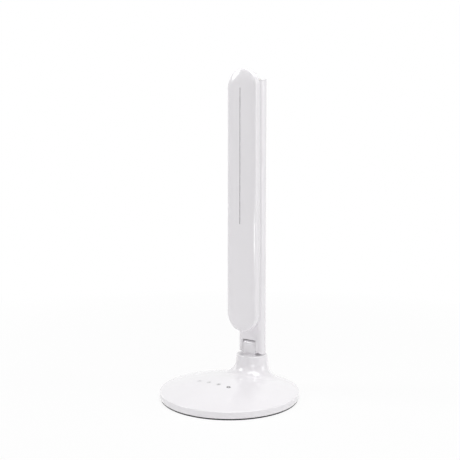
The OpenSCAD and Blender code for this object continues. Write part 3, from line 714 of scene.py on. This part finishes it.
def head_frame():
    """Bowl-shaped frame round the lit window, with the hinge's window above it."""
    depth = lit_y - seam_y
    floor_y = lit_y - head_wall
    rings = [head_ring(head_wall, seam_y)]
    rings += [head_ring(inward, seam_y + away) for inward, away in reversed(SEAM_LIP)]
    rings += [head_ring(frame_round * (1 - cos(radians(a))), seam_y + depth * sin(radians(a)))
              for a in range(6, 91, 6)]
    flat_end, window_start = rings[-1], glass_ring(window_edge, lit_y)
    rings += [between(flat_end, window_start, 0.5), window_start,
              glass_ring(0, lit_y - window_edge), glass_ring(0, floor_y),
              head_ring(frame_round + MM, floor_y)]
    rings += [head_ring(frame_round - (frame_round - head_wall) * cos(radians(a)),
                        seam_y + (depth - head_wall) * sin(radians(a))) for a in (60, 30)]
    rings.append(rings[0])
    frame_piece = wrapped("head_frame_shell", rings)
    half_x, half_z = knuckle_w / 2 + 2 * part_gap, arm_t / 2 + 2 * part_gap
    hinge = block("hinge", (-half_x, floor_y - MM, head_z - half_z),
                  (half_x, lit_y + MM, head_z + half_z))
    combine(frame_piece, hinge, "DIFFERENCE")
    return stand_in(frame_piece, "head_frame", "head", WHITE)


def head_knuckle():
    """Round-ended lug on the upper pin, with its plate inside the frame."""
    lug = block("head_knuckle_lug", (-knuckle_w / 2, LUG_LOW.y, head_z - arm_t / 2),
                (knuckle_w / 2, back_y, head_z + arm_t / 2))
    round_edges(lug, lambda a, b: min(a.y, b.y) > back_y - MM and abs(a.z - b.z) < MM,
                nearly_half * arm_t, segments=16)
    plate = block("plate", LUG_LOW, (LUG_HIGH.x, lit_y - head_wall, LUG_HIGH.z))
    combine(lug, plate, "UNION")
    soften(lug)
    return stand_in(lug, "head_knuckle", "head", WHITE)


base_cover()
touch_marks()
tilt_knuckle()
whole_arm = arm_bar()
arm_shell(whole_arm, "arm_front_half", "arm_front_shell", -1)
arm_shell(whole_arm, "arm_rear_half", "arm_rear_shell", 1)
bpy.data.objects.remove(whole_arm)
head_cover()
head_frame()
head_knuckle()

# ---------------------------------------------------------------- stage

floor_w = 8
floor_glow, glow_start, glow_end = 0.85, 0.25, 0.9
sky_light = 0.28


def seen_directly(tree):
    """1 for rays that show the background, straight, in gloss or through glass; 0 for those that
    light the piece."""
    path = tree.nodes.new("ShaderNodeLightPath")
    total = path.outputs["Is Camera Ray"]
    for name in ("Is Glossy Ray", "Is Transmission Ray"):
        both = tree.nodes.new("ShaderNodeMath")
        both.operation = "MAXIMUM"
        tree.links.new(total, both.inputs[0])
        tree.links.new(path.outputs[name], both.inputs[1])
        total = both.outputs[0]
    return total


def room():
    """A white floor that keeps a faint shadow and fades into a white background."""
    floor = fresh("floor", bpy.ops.mesh.primitive_plane_add, size=floor_w, location=(0, 0, 0))
    p = Paint("floor_white")
    p.set(Base_Color=grey(0.93), Roughness=0.7, Specular_IOR_Level=0.2)
    glow = p.node("ShaderNodeEmission", None, {"Color": grey(1.0), "Strength": 1.0})
    x, y, _ = p.axes()
    far = p.ramp((x * x + y * y).power(0.5),
                 [(glow_start, grey(floor_glow)), (glow_end, grey(1.0))])
    share = Value(p, seen_directly(p.tree)) * far
    both = p.node("ShaderNodeMixShader", None,
                  {"Fac": share, 1: Value(p, p.shader.outputs[0]), 2: glow})
    p.link(both, p.output.inputs["Surface"])
    coat(floor, p.material)


def lamp(name, place, aim, size, power, roll=0):
    """An oval soft light: metres and watts, rolled by degrees about its own beam."""
    data = bpy.data.lights.new(name, "AREA")
    data.shape = "ELLIPSE"
    data.size, data.size_y = size
    data.energy = power
    made = bpy.data.objects.new(name, data)
    bpy.context.scene.collection.objects.link(made)
    made.location = place
    made.rotation_euler = (Vector(aim) - Vector(place)).to_track_quat("-Z", "Y").to_euler()
    made.rotation_euler.rotate_axis("Z", radians(roll))


def camera():
    """The photograph's view, fitted to the base's ellipses and the upright edges."""
    turn, tilt = radians(37.5), radians(3.48)
    away, aside, height = 0.800, 0.00069, 0.2593
    focal_px, image_px, sensor = 643.8, 460, 36
    data = bpy.data.cameras.new("view")
    data.sensor_width = sensor
    data.lens = focal_px * sensor / image_px
    made = bpy.data.objects.new("view", data)
    bpy.context.scene.collection.objects.link(made)
    made.location = (aside * cos(turn) + away * sin(turn),
                     aside * sin(turn) - away * cos(turn), height)
    made.rotation_euler = (pi / 2 - tilt, 0, turn)
    bpy.context.scene.camera = made


def world():
    """White where the eye meets it, a softer white where it lights the piece."""
    scene = bpy.context.scene
    scene.view_settings.view_transform = "Standard"
    sky = scene.world or bpy.data.worlds.new("sky")
    scene.world = sky
    sky.use_nodes = True
    nodes, links = sky.node_tree.nodes, sky.node_tree.links
    nodes.clear()
    light, backdrop = nodes.new("ShaderNodeBackground"), nodes.new("ShaderNodeBackground")
    for node, strength in ((light, sky_light), (backdrop, 1.0)):
        node.inputs["Color"].default_value = grey(1.0)
        node.inputs["Strength"].default_value = strength
    both = nodes.new("ShaderNodeMixShader")
    links.new(seen_directly(sky.node_tree), both.inputs[0])
    links.new(light.outputs[0], both.inputs[1])
    links.new(backdrop.outputs[0], both.inputs[2])
    links.new(both.outputs[0], nodes.new("ShaderNodeOutputWorld").inputs["Surface"])


room()
camera()
world()
lamp("top", place=(0.2, 0.0, 1.4), aim=(0, 0, 0.1), size=(1.2, 1.2), power=12)
lamp("left_front", place=(-1.09, -0.68, 1.16), aim=(0, 0, 0.4), size=(0.45, 0.92), power=5.4,
     roll=33)
lamp("right", place=(1.35, 0.85, 0.5), aim=(0, 0, 0.2), size=(0.6, 1.2), power=4.7)
lamp("left", place=(-1.6, 0.3, 0.6), aim=(0, 0, 0.2), size=(0.7, 1.2), power=1.4)
lamp("low_front", place=(0.6, -0.9, 0.12), aim=(0, 0, 0.02), size=(0.5, 0.15), power=1.3)
